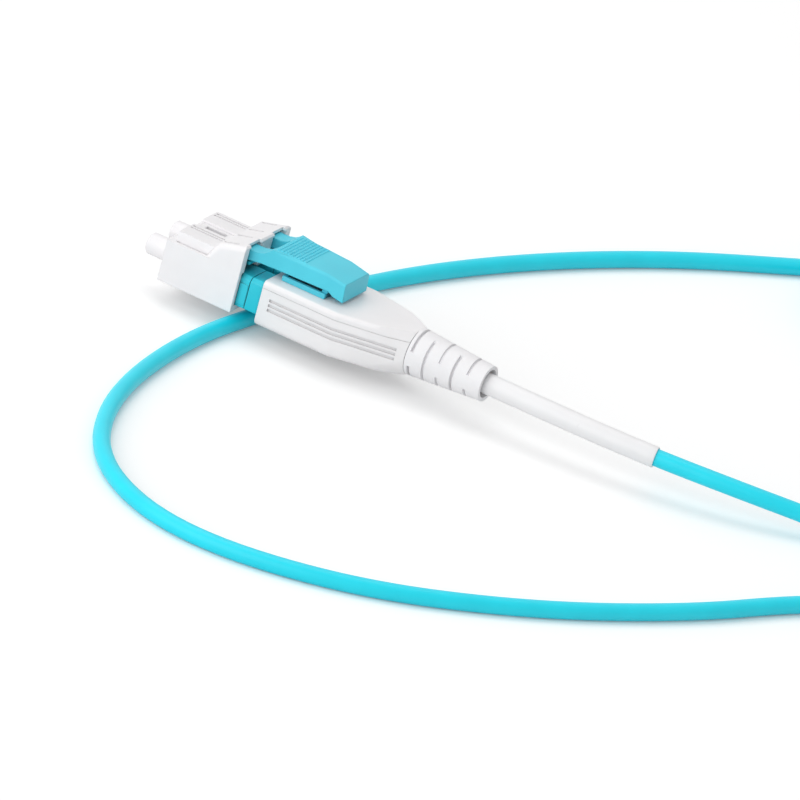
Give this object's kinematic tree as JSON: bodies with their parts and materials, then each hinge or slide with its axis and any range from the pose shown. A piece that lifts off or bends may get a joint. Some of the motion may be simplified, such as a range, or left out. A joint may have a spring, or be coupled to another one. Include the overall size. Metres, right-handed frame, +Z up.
{
  "type": "lc fibre connector",
  "caption": "Duplex LC uniboot fibre connector with push-down trigger latch, dust cap, flexible boot and thin round patch cord.",
  "frame": {"origin": "midway between the two ferrule axes, in the plane of the plug bodies' front faces", "axes": "-X along the ferrules, the way the connector plugs in; +X towards the cord; +Z up through the trigger; Y across the pair"},
  "size_m": [0.1258, 0.2004, 0.0124],
  "materials": {
    "cap": "satin",
    "connector": "satin",
    "trigger": "satin",
    "clip": "satin",
    "housing": "satin",
    "boot": "matt",
    "sleeve": "satin",
    "jacket": "satin",
    "ceramic": "polished",
    "steel": "plain",
    "spring": "plain",
    "tube": "plain"
  },
  "bodies": {
    "connector": {"plug_body_left": "connector", "plug_body_right": "connector", "rear_body_left": "connector", "rear_body_right": "connector", "ferrule_spring_left": "spring", "ferrule_spring_right": "spring", "fibre_tube_left": "tube", "fibre_tube_right": "tube", "housing_top": "housing", "housing_bottom": "housing", "crimp_body": "steel", "crimp_ring": "steel", "boot": "boot", "trigger_clip": "clip", "furcation_sleeve": "sleeve", "far_plug_body_left": "connector", "far_plug_body_right": "connector", "far_rear_body_left": "connector", "far_rear_body_right": "connector", "far_housing_top": "housing", "far_housing_bottom": "housing", "far_boot": "boot", "far_trigger_clip": "clip", "far_furcation_sleeve": "sleeve", "cord": "jacket", "cord_coil": "jacket", "cord_far_lead": "jacket"},
    "cap_body": {"dust_cap": "cap"},
    "trigger_body": {"trigger": "trigger"},
    "latch_left": {"latch_arm_left": "connector"},
    "ferrule_body_left": {"ferrule_left": "ceramic", "ferrule_flange_left": "steel"},
    "latch_right": {"latch_arm_right": "connector"},
    "ferrule_body_right": {"ferrule_right": "ceramic", "ferrule_flange_right": "steel"},
    "far_cap_body": {"far_dust_cap": "cap"},
    "far_trigger_body": {"far_trigger": "trigger"},
    "far_latch_left": {"far_latch_arm_left": "connector"},
    "far_ferrule_body_left": {"far_ferrule_left": "ceramic", "far_ferrule_flange_left": "steel"},
    "far_latch_right": {"far_latch_arm_right": "connector"},
    "far_ferrule_body_right": {"far_ferrule_right": "ceramic", "far_ferrule_flange_right": "steel"}
  },
  "joints": [
    {"name": "dust_cap_pull", "type": "slide", "parent": "connector", "child": "cap_body", "axis": [-1, 0, 0], "range_m": [0, 0.014]},
    {"name": "trigger_press", "type": "hinge", "parent": "connector", "child": "trigger_body", "pos_m": [0.021, 0, 0.0042], "axis": [0, -1, 0], "range_deg": [0, 4], "stiffness_Nm_per_rad": 0.3, "springref_deg": -1.15},
    {"name": "latch_bend_left", "type": "hinge", "parent": "connector", "child": "latch_left", "pos_m": [0.0016, -0.00313, 0.00256], "axis": [0, 1, 0], "range_deg": [0, 5.3]},
    {"name": "ferrule_float_left", "type": "slide", "parent": "connector", "child": "ferrule_body_left", "axis": [1, 0, 0], "range_m": [0, 0.0008], "stiffness_N_per_m": 1500, "springref_m": -0.003, "deforming": ["ferrule_spring_left"]},
    {"name": "latch_bend_right", "type": "hinge", "parent": "connector", "child": "latch_right", "pos_m": [0.0016, 0.00313, 0.00256], "axis": [0, 1, 0], "range_deg": [0, 5.3]},
    {"name": "ferrule_float_right", "type": "slide", "parent": "connector", "child": "ferrule_body_right", "axis": [1, 0, 0], "range_m": [0, 0.0008], "stiffness_N_per_m": 1500, "springref_m": -0.003, "deforming": ["ferrule_spring_right"]},
    {"name": "far_dust_cap_pull", "type": "slide", "parent": "connector", "child": "far_cap_body", "axis": [-1, 0, 0], "range_m": [0, 0.014]},
    {"name": "far_trigger_press", "type": "hinge", "parent": "connector", "child": "far_trigger_body", "pos_m": [0.058, 0.127, 0.00175], "axis": [0, -1, 0], "range_deg": [0, 4], "stiffness_Nm_per_rad": 0.3, "springref_deg": -1.15},
    {"name": "far_latch_bend_left", "type": "hinge", "parent": "connector", "child": "far_latch_left", "pos_m": [0.0386, 0.12387, 0.00011], "axis": [0, 1, 0], "range_deg": [0, 5.3]},
    {"name": "far_ferrule_float_left", "type": "slide", "parent": "connector", "child": "far_ferrule_body_left", "axis": [1, 0, 0], "range_m": [0, 0.0008], "stiffness_N_per_m": 1500, "springref_m": -0.003},
    {"name": "far_latch_bend_right", "type": "hinge", "parent": "connector", "child": "far_latch_right", "pos_m": [0.0386, 0.13012, 0.00011], "axis": [0, 1, 0], "range_deg": [0, 5.3]},
    {"name": "far_ferrule_float_right", "type": "slide", "parent": "connector", "child": "far_ferrule_body_right", "axis": [1, 0, 0], "range_m": [0, 0.0008], "stiffness_N_per_m": 1500, "springref_m": -0.003}
  ],
  "couplings": [
    {"joint": "latch_bend_left", "follows": "trigger_press", "ratio": 1.3},
    {"joint": "latch_bend_right", "follows": "trigger_press", "ratio": 1.3},
    {"joint": "far_latch_bend_left", "follows": "far_trigger_press", "ratio": 1.3},
    {"joint": "far_latch_bend_right", "follows": "far_trigger_press", "ratio": 1.3}
  ]
}
